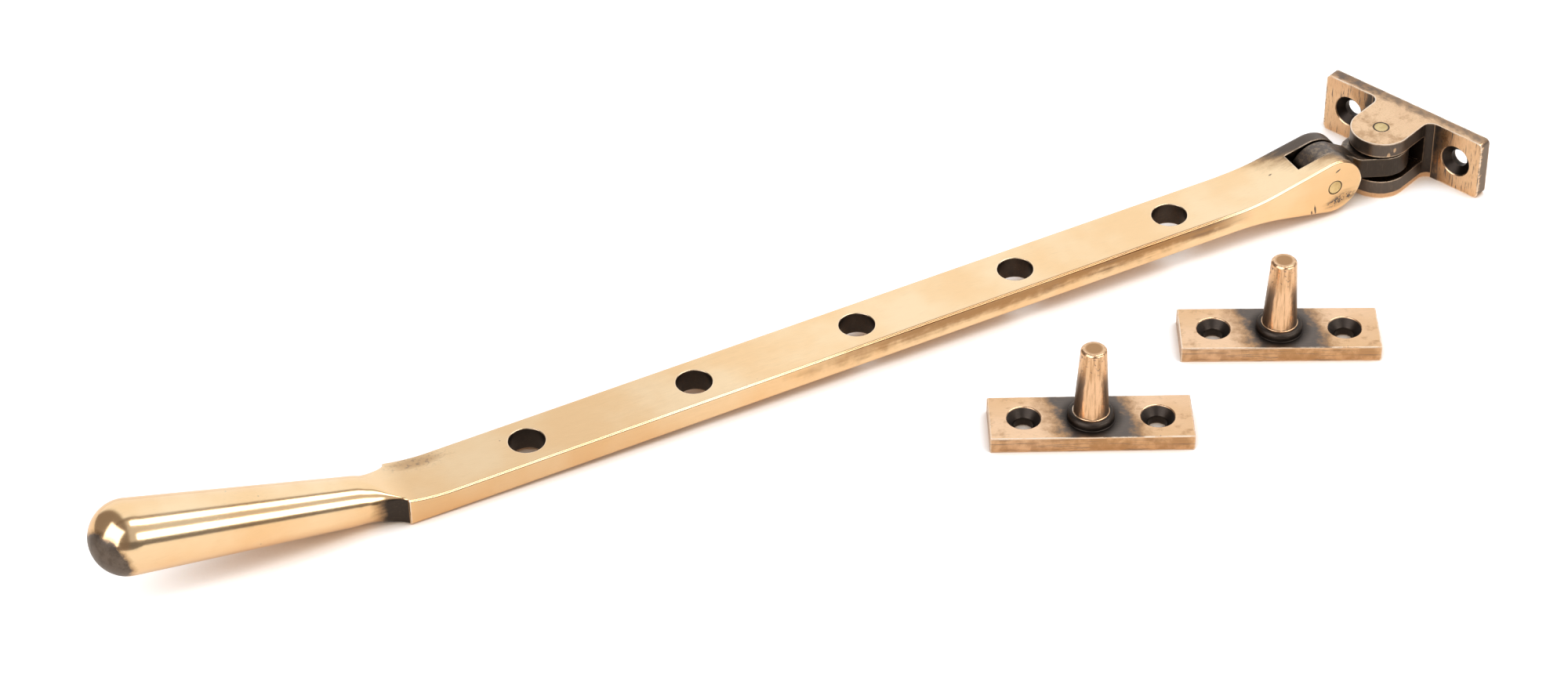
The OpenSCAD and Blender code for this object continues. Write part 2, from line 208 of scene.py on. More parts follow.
def turned(profile, segments=96):
    """A solid of revolution about Z from (radius, height) points, low to high; radius 0 closes an end."""
    bm = bmesh.new()
    rows = []
    for r, z in profile:
        rows.append([bm.verts.new((r * cos(2 * pi * k / segments), r * sin(2 * pi * k / segments), z))
                     for k in range(segments)])
    for a, b in zip(rows, rows[1:]):
        for i in range(segments):
            j = (i + 1) % segments
            bm.faces.new((a[i], a[j], b[j], b[i]))
    bm.faces.new(list(reversed(rows[0])))
    bm.faces.new(rows[-1])
    return bm


def box(low, high):
    bm = bmesh.new()
    bmesh.ops.create_cube(bm, size=1.0)
    for v in bm.verts:
        for k in range(3):
            v.co[k] = low[k] if v.co[k] < 0 else high[k]
    return bm


def cut(piece, cutters):
    """Takes the cutters out of a piece, and deletes them."""
    for cutter in cutters:
        change = piece.modifiers.new("cut", "BOOLEAN")
        change.operation = "DIFFERENCE"
        change.solver = "EXACT"
        change.object = cutter
        bpy.context.view_layer.update()
        graph = bpy.context.evaluated_depsgraph_get()
        mesh = bpy.data.meshes.new_from_object(piece.evaluated_get(graph))
        piece.modifiers.clear()
        piece.data = mesh
        bpy.data.objects.remove(cutter)
    mesh.name = piece.name


def soften(piece, width, wanted):
    """Rounds the sharp edges of the arm that wanted() picks by their two ends, in mm in the arm's frame."""
    bm = bmesh.new()
    bm.from_mesh(piece.data)
    bmesh.ops.remove_doubles(bm, verts=bm.verts, dist=JOIN * MM)
    bmesh.ops.dissolve_degenerate(bm, edges=bm.edges, dist=JOIN * MM)
    back = ARM_PLACE.inverted() @ Matrix.Scale(1 / MM, 4)
    edges = [e for e in bm.edges if len(e.link_faces) == 2 and e.calc_face_angle(0) > radians(SHARP_DEG)
             and wanted(back @ e.verts[0].co, back @ e.verts[1].co)]
    bmesh.ops.bevel(bm, geom=edges, offset=width * MM, segments=EDGE_SEGMENTS, profile=0.5,
                    affect="EDGES", clamp_overlap=False)
    bm.to_mesh(piece.data)
    bm.free()


def smooth_faces(piece):
    """Shades round faces as round and flat ones as flat."""
    for face in piece.data.polygons:
        face.use_smooth = True
    weigh = piece.modifiers.new("true flats", "WEIGHTED_NORMAL")
    weigh.keep_sharp = True
    return weigh


def rub_edges(piece, width):
    """Rounds a piece's sharp edges by a width in mm. It uses modifiers, so its own mesh stays as it is."""
    joined = piece.modifiers.new("join faces", "WELD")
    joined.merge_threshold = JOIN * MM
    flats = piece.modifiers.new("whole faces", "DECIMATE")
    flats.decimate_type = "DISSOLVE"
    flats.angle_limit = radians(FLAT_DEG)
    soft = piece.modifiers.new("rubbed edges", "BEVEL")
    soft.limit_method = "ANGLE"
    soft.angle_limit = radians(SHARP_DEG)
    soft.width = width * MM
    soft.segments = EDGE_SEGMENTS
    soft.harden_normals = False
    smooth_faces(piece)


def make_arm():
    """The arm in one casting, finer than its CAD solid: its sections less the slot, holes and seat."""
    piece = mesh_object("arm_casting", skin(arm_rings()), ARM_PLACE)
    slot = box((-SLOT_ROOT, -SLOT_W / 2, -PAST), (FORK_R + 1, SLOT_W / 2, PAST))
    cutters = [mesh_object("cutter", slot, ARM_PLACE)]
    for i in range(HOLE_COUNT):
        hole = turned([(HOLE_D / 2, -PAST), (HOLE_D / 2, PAST)])
        middle = Matrix.Translation((-(FORK_REACH + i * HOLE_PITCH), 0, 0))
        cutters.append(mesh_object("cutter", hole, ARM_PLACE @ middle))
    half, r, head_r = FORK_W / 2, RIVET_D / 2, RIVET_HEAD_D / 2 + SEAT_ROOM
    seat = turned([(head_r + 1, -half - 1), (head_r, -half), (r, -half + RIVET_HEAD_H),
                   (r, half - RIVET_HEAD_H), (head_r, half), (head_r + 1, half + 1)], 64)
    cutters.append(mesh_object("cutter", seat, ARM_PLACE @ Matrix.Rotation(pi / 2, 4, "X")))
    cut(piece, cutters)

    def rim_or_slot(a, b):
        for p in (a, b):
            at_hole = any(abs(hypot(p.x + FORK_REACH + i * HOLE_PITCH, p.y) - HOLE_D / 2) < NEAR
                          for i in range(HOLE_COUNT))
            at_slot = p.x > -SLOT_ROOT - NEAR and abs(p.y) < SLOT_W / 2 + NEAR
            if not (at_hole or at_slot):
                return False
        return True

    soften(piece, RIM_R, rim_or_slot)
    smooth_faces(piece).weight = FLATS_FIRST
    piece.data.set_sharp_from_angle(angle=radians(CREASE_DEG))
    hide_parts("stay_arm")
    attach(piece, "arm")
    return piece


# ---------------------------------------------------------------- materials
EDGE_REACH = 0.48       # how far in from an outer edge the metal is painted pale, as rubbed wear and as a painted highlight line, in mm
SHELTER_REACH = 3.0     # how far out of a corner the buffing wheel is kept off, in mm

# How many of each pattern go to a millimetre
TONES = 0.05            # slow changes in the alloy's colour, about 20 mm across
PIT_GROUPS = 0.07       # the pits lie in loose groups, about 14 mm across
WAVES = 0.11            # left by polishing by hand, about 9 mm long
PITS = 0.28             # left by the casting, 0.3 mm across, every 4 mm or so within a group
BLOTCHES = 0.33         # patches of ageing, about 3 mm across
SMEARS = 0.9            # ageing wiped along, about 1 mm wide and 10 mm long
FLECKS = 1.1            # ageing in flecks just under 1 mm across
SAND = 2.4              # grain that the sand mould left, about 0.4 mm
# Lines left by the polishing wheel. Real ones are a few hundredths of a mm wide; these are 0.25 mm,
# about as fine as the picture shows
WHEEL_LINES = 4.0

# Colours that all the castings share
LINE_BROWN = "#A87C50"          # ageing left in the wheel's lines
FILM_BROWN = "#94683A"          # a film of ageing so thin that the metal shows through
PALE_WEAR_AND_HIGHLIGHT = "#FFF1DE"         # edges rubbed bare and finely scratched, and painted as a highlight line, so almost white
PATINA, BLACKEST_AND_SHADE = "#6B625B", "#28221E"     # full ageing where light still reaches, and its blackest, also used as painted shade deep down
PATINA_RUBBED = "#94806C"       # lines rubbed through it


def hex_colour(code):
    """sRGB hex to the linear colour that a socket takes."""
    out = []
    for k in (1, 3, 5):
        c = int(code[k:k + 2], 16) / 255
        out.append(c / 12.92 if c <= 0.04045 else ((c + 0.055) / 1.055) ** 2.4)
    return (*out, 1.0)


PLUS, MINUS, TIMES = dict(operation="ADD"), dict(operation="SUBTRACT"), dict(operation="MULTIPLY")
SPREAD = dict(operation="MULTIPLY_ADD")
MOST, SIZE = dict(operation="MAXIMUM"), dict(operation="ABSOLUTE")
SMOOTH = dict(interpolation_type="SMOOTHSTEP")
COLOUR = dict(data_type="RGBA")
DOT = dict(operation="DOT_PRODUCT", out="Value")


def filler(owner):
    """Empties the node tree of a material or world, and gives the function that fills it."""
    owner.use_nodes = True
    tree = owner.node_tree
    tree.nodes.clear()

    def add(kind, *values, out=0, **settings):
        """Adds a node with its settings. Its inputs are values or nodes' outputs, by order or name."""
        node = tree.nodes.new("ShaderNode" + kind)
        for key, value in settings.items():
            setattr(node, key, value)
        wanted = values[0] if values and isinstance(values[0], dict) else dict(enumerate(values))
        usable = [s for s in node.inputs if s.enabled]
        for key, value in wanted.items():
            socket = node.inputs[key] if isinstance(key, str) else usable[key]
            if isinstance(value, bpy.types.NodeSocket):
                tree.links.new(value, socket)
            else:
                socket.default_value = value
        if out is None:
            return node
        return node.outputs[out] if isinstance(out, str) else [s for s in node.outputs if s.enabled][out]

    return add


class Surface:
    """What an ageing pattern needs to know of a piece: place and direction in its own frame, and noises."""

    def __init__(self, add, place, lines, upright_from=None):
        self.add = add
        self.where = add("Mapping", dict(
            Vector=add("TexCoord", out="Object"), Location=place.to_translation() * MM,
            Rotation=tuple(place.to_euler("XYZ")), Scale=(MM, MM, MM)), vector_type="TEXTURE")
        self.x, self.y, self.z = add("SeparateXYZ", self.where, out=None).outputs
        facing = add("VectorTransform", add("NewGeometry", out="Normal"), vector_type="NORMAL",
                     convert_from="WORLD", convert_to="OBJECT")
        # How far a face looks up, in the part's frame, whatever the pose
        self.upward = add("VectorMath", facing, (0.0, 0.0, 1.0), **DOT)
        self.blotch = add("TexNoise", dict(Vector=self.where, Scale=BLOTCHES, Detail=5.0, Roughness=0.62))
        self.fleck = add("TexNoise", dict(Vector=self.where, Scale=FLECKS, Detail=4.0, Roughness=0.65))
        # Smears and lines run along the piece, or up and down it above a height
        along = add("VectorMath", self.where, lines, **TIMES)
        if upright_from is not None:
            along = add("Mix", add("MapRange", self.z, upright_from, upright_from + 0.1), along,
                        add("VectorMath", self.where, (1.6, 1.6, 0.1), **TIMES), data_type="VECTOR")
        self.smear = add("TexNoise", dict(Vector=along, Scale=SMEARS, Detail=4.0, Roughness=0.6))
        self.lines = add("TexNoise", dict(Vector=along, Scale=WHEEL_LINES, Detail=5.0, Roughness=0.7))
        # What a border wanders by, about nought
        self.ragged = add("Math", add("Math", self.blotch, self.smear, **PLUS), 1.0, **MINUS)

    def mark(self, middle, half, turn_deg=0.0, ragged=0.5, soft=0.27):
        """A dark mark round a middle, with half sizes in mm along the piece's own axes, turned about Y."""
        add = self.add
        turn = (0.0, radians(turn_deg), 0.0)
        unit = add("Mapping", dict(Vector=self.where, Location=middle, Rotation=turn, Scale=half),
                   vector_type="TEXTURE")
        away = add("VectorMath", unit, operation="LENGTH", out="Value")
        away = add("Math", self.smear, -ragged * 4.0, add("Math", away, ragged * 2.0, **PLUS), **SPREAD)
        return add("MapRange", away, 0.97 + soft, 0.97 - soft, **SMOOTH)

    def off_axis(self, a, b):
        """How far a point is from where a and b are both nought."""
        squares = [self.add("Math", v, v, **TIMES) for v in (a, b)]
        return self.add("Math", self.add("Math", *squares, **PLUS), 0.5, operation="POWER")

    def ring_round(self, a, b, radius, width):
        """A thin dark ring just outside a circle round a = b = 0."""
        add = self.add
        off = add("Math", add("Math", self.off_axis(a, b), radius + width / 2, **MINUS), **SIZE)
        return add("MapRange", off, width * 0.9, width * 0.35, **SMOOTH)

    def within(self, a, b, radius, soft):
        """Inside a circle round a = b = 0."""
        return self.add("MapRange", self.off_axis(a, b), radius + soft, radius, **SMOOTH)

    def most(self, *masks):
        """Wherever any of the masks is."""
        out = masks[0]
        for m in masks[1:]:
            out = self.add("Math", out, m, **MOST)
        return out


def old_bronze(name, place, ageing, bright="#FBDDB2", tint="#F7D09E", streaks=0.08, rough=0.155,
               lines=(0.07, 1.0, 1.0), grain=0.0, rims=1.0, upright_from=None):
    """Cast bronze, darkened with acid and then polished by hand.

    The polish leaves a warm mirror with faint waves and hair-fine lines. The dark ageing stays, semi-matt,
    where a buffing wheel can't reach: in corners, holes and slots; deep down, painted shade darkens it.
    Outer edges are painted palest, as rubbed wear and as a painted highlight line.
    The clean metal goes from bright to tint. The wheel's lines are fine along the axes where the number in
    lines is high, and above upright_from they run up and down."""
    material = bpy.data.materials.new(name)
    add = filler(material)
    s = Surface(add, place, lines, upright_from)
    dark, film, black = ageing(s)
    open_sky = add("AmbientOcclusion", dict(Distance=SHELTER_REACH * MM), out="AO", samples=8,
                   only_local=True)
    shelter = add("Math", s.ragged, -0.4, open_sky, **SPREAD)
    shelter = add("MapRange", shelter, 0.4, 0.74, 1.0, 0.0, **SMOOTH)
    # Seen from inside the casting, the open air is close by only at an outer edge
    solid = add("AmbientOcclusion", dict(Distance=EDGE_REACH * MM), out="AO", samples=8, inside=True,
                only_local=True)
    # The edge mask: rubbed wear, and a painted highlight line along the outer edges
    edge = add("Math", add("MapRange", solid, 0.92, 0.66, **SMOOTH),
               add("MapRange", open_sky, 0.45, 0.7, **SMOOTH), **TIMES)
    edge = add("Math", edge, add("MapRange", s.blotch, 0.36, 0.56, 0.35 * rims, rims, **SMOOTH), **TIMES)
    edge = add("Math", edge, add("Math", black, -0.7, 1.0, **SPREAD), **TIMES)
    cells = add("TexVoronoi", dict(Vector=s.where, Scale=PITS), out="Distance")
    grouped = add("TexNoise", dict(Vector=s.where, Scale=PIT_GROUPS, Detail=2.0))
    pit = add("Math", add("MapRange", cells, 0.055, 0.03, 0.0, 0.8, **SMOOTH),
              add("MapRange", grouped, 0.5, 0.58, **SMOOTH), **TIMES)
    dark = s.most(shelter, dark, pit)
    dark = add("Math", dark, add("Math", edge, -0.9, 1.0, **SPREAD), use_clamp=True, **TIMES)
    # Clean metal: slow changes of tone, brown in the lines and in thin films, palest on the edges, as
    # rubbed wear and a painted highlight line
    tone = add("TexNoise", dict(Vector=s.where, Scale=TONES, Detail=3.0))
    tone = add("MapRange", tone, 0.35, 0.65, **SMOOTH)
    metal = add("Mix", tone, hex_colour(bright), hex_colour(tint), **COLOUR)
    browned = add("Math", add("MapRange", s.lines, 0.46, 0.72, 0.0, streaks, **SMOOTH),
                  add("MapRange", s.blotch, 0.32, 0.62, 0.35, 1.0, **SMOOTH), **TIMES)
    metal = add("Mix", browned, metal, hex_colour(LINE_BROWN), **COLOUR)
    metal = add("Mix", film, metal, hex_colour(FILM_BROWN), **COLOUR)
    metal = add("Mix", add("Math", edge, 0.9, **TIMES), metal, hex_colour(PALE_WEAR_AND_HIGHLIGHT), **COLOUR)
    # Ageing: grey-brown where light still reaches; painted shade from the occlusion darkens it almost to
    # black deep down, as the blackest ageing does; with lighter rubbed lines
    depth = add("Math", add("MapRange", open_sky, 0.25, 0.85, **SMOOTH),
                add("Math", black, -1.0, 1.0, use_clamp=True, **SPREAD), **TIMES)
    aged = add("Mix", depth, hex_colour(BLACKEST_AND_SHADE), hex_colour(PATINA), **COLOUR)
    rubbed = add("Math", add("MapRange", s.lines, 0.48, 0.75, 0.0, 0.4, **SMOOTH), depth, **TIMES)
    aged = add("Mix", rubbed, aged, hex_colour(PATINA_RUBBED), **COLOUR)
    colour = add("Mix", dark, metal, aged, **COLOUR)
    # Rougher where it is aged, across the lines, and where the edges are finely scratched
    gloss = add("Math", dark, 0.2, rough, **SPREAD)
    gloss = add("Math", add("Math", s.lines, 0.5, **MINUS), 0.16, gloss, **SPREAD)
    gloss = add("Math", edge, 0.14, gloss, **SPREAD)
    # Relief: slow waves, fine lines, pits, and the mould's grain where the casting is still dark
    waves = add("TexNoise", dict(Vector=s.where, Scale=WAVES, Detail=1.0, Roughness=0.4))
    sand = add("TexNoise", dict(Vector=s.where, Scale=SAND, Detail=3.0, Roughness=0.6))
    relief = add("Math", waves, 2.0, add("Math", s.lines, 0.12 + grain, **TIMES), **SPREAD)
    relief = add("Math", add("Math", sand, dark, **TIMES), 0.5, relief, **SPREAD)
    relief = add("Math", pit, -1.5, relief, **SPREAD)
    bump = add("Bump", dict(Strength=0.4, Distance=0.03 * MM, Height=relief))
    shader = add("BsdfPrincipled", {"Base Color": colour, "Metallic": 1.0, "Roughness": gloss,
                                    "Normal": bump})
    add("OutputMaterial", dict(Surface=shader), out=None)
    return material


def arm_ageing(s):
    """Where the arm's casting stayed dark, where it has a thin brown film, and where it is blackest."""
    add = s.add
    side_on = add("MapRange", s.upward, 0.62, 0.4, **SMOOTH)
    # Hollow corners between the shoulder and the handle, fading softly into the handle
    start = add("Math", s.ragged, 2.4, s.x, **SPREAD)
    past = add("MapRange", s.x, SHOULDER_X - 0.02, SHOULDER_X - 0.2, **SMOOTH)
    past = add("Math", past, side_on, **TIMES)
    hollow = add("MapRange", start, SHOULDER_X - 6.8, SHOULDER_X - 4.0, **SMOOTH)
    hollow = add("Math", hollow, past, **TIMES)
    hollow_film = add("MapRange", start, SHOULDER_X - 8.5, SHOULDER_X - 5.5, 0.0, 0.6, **SMOOTH)
    hollow_film = add("Math", hollow_film, past, **TIMES)
    # Top of the fork: all of the far cheek, and a soft border that runs aslant behind the slot
    aslant = add("Math", add("Math", s.y, 2.0, **MINUS), 1.3, s.x, **SPREAD)
    aslant = add("Math", s.ragged, 6.0, aslant, **SPREAD)
    on_fork = add("Math", add("MapRange", s.x, -21.0, -12.0, **SMOOTH),
                  add("MapRange", s.upward, 0.25, 0.45, **SMOOTH), **TIMES)
    fork_top = add("Math", add("MapRange", aslant, -11.0, -3.5, 0.0, 0.96, **SMOOTH), on_fork, **TIMES)
    fork_film = add("Math", add("MapRange", aslant, -16.0, -7.0, 0.0, 0.7, **SMOOTH), on_fork, **TIMES)
    # Walls of the slot
    slot = add("MapRange", add("Math", s.y, **SIZE), SLOT_W / 2 + 0.06, SLOT_W / 2 + 0.02, **SMOOTH)
    slot = add("Math", slot, add("MapRange", s.x, -SLOT_ROOT - 0.06, -SLOT_ROOT - 0.02, **SMOOTH), **TIMES)
    # The dome is dark at its outer end, towards the near side, where it is held for polishing
    crank = radians(CRANK_DEG)
    dome_x, dome_z = NECK_X - HANDLE_LEN * cos(crank), NECK_RISE + HANDLE_LEN * sin(crank)
    from_middle = add("VectorMath", s.where, (dome_x, 0.0, dome_z), **MINUS)
    held = add("VectorMath", from_middle, (-0.9, -0.36, -0.24), **DOT)
    held = add("Math", add("Math", s.blotch, 0.5, **MINUS), 2.6, held, **SPREAD)
    dome = add("MapRange", held, 4.9, 5.7, 0.0, 0.97, **SMOOTH)
    dome_film = add("MapRange", held, 4.2, 5.2, 0.0, 0.5, **SMOOTH)
    dome_black = add("MapRange", s.blotch, 0.45, 0.62, 0.0, 0.35, **SMOOTH)
    dome_black = add("Math", dome_black, dome, **TIMES)
    # Inside the peg holes; ten pitches more keep the length positive
    along = add("Math", s.x, FORK_REACH + 10 * HOLE_PITCH, **PLUS)
    along = add("Math", along, HOLE_PITCH / 2, operation="PINGPONG")
    on_bar = add("Math", add("MapRange", s.x, SHOULDER_X + 10.0, SHOULDER_X + 12.0, **SMOOTH),
                 add("MapRange", s.x, -FORK_REACH / 2 - 8.0, -FORK_REACH / 2 - 10.0, **SMOOTH), **TIMES)
    holes = add("Math", s.within(along, s.y, HOLE_D / 2 + 0.03, 0.1), on_bar, **TIMES)
    # A thin dark ring round the rivet's head
    rivet = s.ring_round(s.x, s.z, RIVET_HEAD_D / 2, 0.22)
    # Brown left on the upper half of the bar's near side, from its middle to the fork
    near = add("MapRange", s.y, -6.4, -6.8, **SMOOTH)
    wander = add("Math", s.ragged, 20.0, s.x, **SPREAD)
    streak = add("MapRange", add("Math", s.ragged, 3.0, s.z, **SPREAD), -1.4, 1.2, **SMOOTH)
    for part in (near, add("MapRange", wander, -150.0, -110.0, **SMOOTH),
                 add("MapRange", s.x, -20.0, -34.0, **SMOOTH)):
        streak = add("Math", streak, part, **TIMES)
    streak_dark = add("Math", add("Math", streak, add("MapRange", s.smear, 0.5, 0.66, **SMOOTH), **TIMES),
                      add("MapRange", s.x, -90.0, -66.0, 0.0, 0.38, **SMOOTH), **TIMES)
    # Single marks: flecks on the near cheek, nicks, behind the slot and at the far corner of the shoulder
    cheek, top = -FORK_W / 2, BAR_T / 2
    flecks = add("MapRange", s.fleck, 0.46, 0.56, **SMOOTH)
    smear = add("Math", s.mark((1.6, cheek, -3.7), (3.3, 1.0, 1.3), -11.5, 0.5, 0.5), flecks, **TIMES)
    smear_film = s.mark((1.6, cheek, -3.7), (3.8, 1.0, 1.7), -11.5, 0.4, 0.6)
    nicks = (s.mark((-5.2, cheek, -4.3), (0.24, 1.0, 1.3), -8.0, 0.3),
             s.mark((-6.1, cheek, -4.9), (0.22, 1.0, 0.55), -8.0, 0.3),
             s.mark((0.5, cheek, 4.5), (0.7, 1.0, 0.2), -30.0, 0.2))
    behind_slot = (s.mark((-6.9, -1.7, 3.7), (1.2, 1.0, 1.5), 0.0, 1.0),
                   s.mark((-13.4, -0.2, 3.2), (0.6, 0.3, 1.5), 0.0, 0.3))
    far_corner = s.mark((SHOULDER_X + 6.5, 5.0, top), (7.0, 2.2, 2.0), 0.0, 0.15, 0.7)
    far_flecks = add("Math", far_corner, add("MapRange", s.fleck, 0.5, 0.66, 0.0, 0.5, **SMOOTH), **TIMES)
    # The end of the bar that is handled most has gone a little browner
    handled = add("MapRange", wander, -125.0, -195.0, 0.0, 0.25, **SMOOTH)
    on_flat = add("MapRange", s.x, SHOULDER_X - 4.0, SHOULDER_X + 3.0, **SMOOTH)
    handled = add("Math", handled, on_flat, **TIMES)
    film = s.most(hollow_film, fork_film, dome_film, handled, add("Math", streak, 0.8, **TIMES),
                  add("Math", smear_film, 0.45, **TIMES), add("Math", far_corner, 0.6, **TIMES))
    black = s.most(slot, rivet, dome_black, add("Math", holes, 0.55, **TIMES),
                   add("Math", hollow, 0.75, **TIMES), add("Math", on_fork, 0.25, **TIMES))
    dark = s.most(hollow, fork_top, slot, dome, holes, rivet, streak_dark, smear, *nicks, *behind_slot,
                  far_flecks)
    return dark, film, black


def sunk_holes(s, along, across, spacing, depth, face):
    """Inside both sunk screw holes of a plate whose outer face lies where depth is face."""
    add = s.add
    off = add("Math", add("Math", along, **SIZE), spacing / 2, **MINUS)
    below = add("Math", add("Math", depth, face, **MINUS), **SIZE)
    return add("Math", s.within(off, across, SINK_D / 2 - 0.1, 0.2),
               add("MapRange", below, 0.05, 0.3, **SMOOTH), **TIMES)


def bracket_ageing(s):
    """Where the bracket's casting stayed dark, where it has a thin brown film, and where it is blackest."""
    add = s.add
    side_on = add("MapRange", s.upward, 0.6, 0.4, **SMOOTH)
    top_on = add("MapRange", s.upward, 0.4, 0.6, **SMOOTH)
    # Sides of the lugs and of their hollow corners, but for the rubbed strip low on the lower lug
    on_lugs = add("MapRange", s.x, -PLATE_T - 0.02, -PLATE_T - 0.1, **SMOOTH)
    strip = add("Math", s.ragged, 0.3, s.z, **SPREAD)
    strip = add("MapRange", strip, REST_Z + 1.15, REST_Z + 1.35, **SMOOTH)
    lugs = add("Math", add("Math", on_lugs, strip, **TIMES), side_on, **TIMES)
    strip_film = add("Math", add("Math", on_lugs, side_on, **TIMES), 0.12, **TIMES)
    # The plate beside the hollow corners, out to the screw holes
    from_middle = add("Math", s.ragged, 4.5, add("Math", s.y, **SIZE), **SPREAD)
    on_face = add("Math", side_on, add("MapRange", s.x, -1.5, -2.5, **SMOOTH), **TIMES)
    on_face = add("Math", on_face, add("Math", on_lugs, -1.0, 1.0, **SPREAD), **TIMES)
    beside = add("Math", add("MapRange", from_middle, 12.2, 9.0, **SMOOTH), on_face, **TIMES)
    beside_film = add("MapRange", from_middle, 16.0, 10.5, 0.0, 0.65, **SMOOTH)
    beside_film = add("Math", beside_film, on_face, **TIMES)
    # Marks that the linishing belt left on the plate's face, upright. Real ones are near 0.1 mm wide;
    # these are 0.6 mm with finer ones among them
    upright = add("VectorMath", s.where, (1.0, 1.6, 0.14), **TIMES)
    upright = add("TexNoise", dict(Vector=upright, Scale=1.0, Detail=4.0, Roughness=0.65))
    belt = add("Math", add("MapRange", upright, 0.56, 0.65, 0.0, 0.95, **SMOOTH), on_face, **TIMES)
    # Along the plate's upper edge: grey at its far end, soft streaks elsewhere
    backwards = add("MapRange", add("Math", s.ragged, 2.6, s.x, **SPREAD), -3.6, -1.2, **SMOOTH)
    far_end = add("MapRange", add("Math", s.ragged, 8.0, s.y, **SPREAD), 5.0, 13.0, 0.66, 0.88, **SMOOTH)
    upper = add("Math", add("Math", backwards, far_end, **TIMES), top_on, **TIMES)
    upper_dark = add("Math", upper, add("MapRange", s.smear, 0.42, 0.6, 0.55, 1.0, **SMOOTH), **TIMES)
    # Both ends, with a border towards the front that is combed by the belt
    comb = add("VectorMath", s.where, (0.4, 0.4, 3.0), **TIMES)
    comb = add("TexNoise", dict(Vector=comb, Scale=1.0, Detail=2.0))
    reach = add("Math", add("Math", comb, 0.5, **MINUS), 3.0, s.x, **SPREAD)
    ends = add("MapRange", add("Math", s.y, **SIZE), PLATE_L / 2 - 0.45, PLATE_L / 2 - 0.25, **SMOOTH)
    ends = add("Math", ends, add("MapRange", reach, -3.1, -2.6, 0.0, 0.9, **SMOOTH), **TIMES)
    # Thin dark ring round the rivet's head, brown clouds on the lug, and scratches on its near side
    rivet = s.ring_round(add("Math", s.x, LUG_REACH, **PLUS), s.y, RIVET_HEAD_D / 2, 0.3)
    clouds = add("Math", s.x, -0.012, s.blotch, **SPREAD)
    clouds = add("Math", add("MapRange", clouds, 0.6, 0.85, 0.0, 0.5, **SMOOTH), top_on, **TIMES)
    scratched = s.most(s.mark((-15.4, -6.2, 5.6), (0.5, 1.5, 0.9), 0.0, 1.2),
                       s.mark((-16.6, -5.4, 4.4), (0.3, 1.5, 0.6), 0.0, 0.8))
    lugs = add("Math", lugs, add("Math", scratched, -0.6, 1.0, **SPREAD), **TIMES)
    holes = sunk_holes(s, s.y, s.z, PLATE_SCREWS, s.x, -PLATE_T)
    # Blackest where the lugs meet the plate
    inwards = add("MapRange", s.x, -8.5, -4.5, 0.15, 0.75, **SMOOTH)
    black = s.most(add("Math", lugs, inwards, **TIMES), rivet, add("Math", holes, 0.9, **TIMES),
                   add("Math", beside, 0.5, **TIMES), add("Math", ends, 0.2, **TIMES))
    film = s.most(strip_film, beside_film, clouds, add("Math", upper, 0.8, **TIMES))
    return s.most(lugs, beside, upper_dark, ends, rivet, holes, belt), film, black


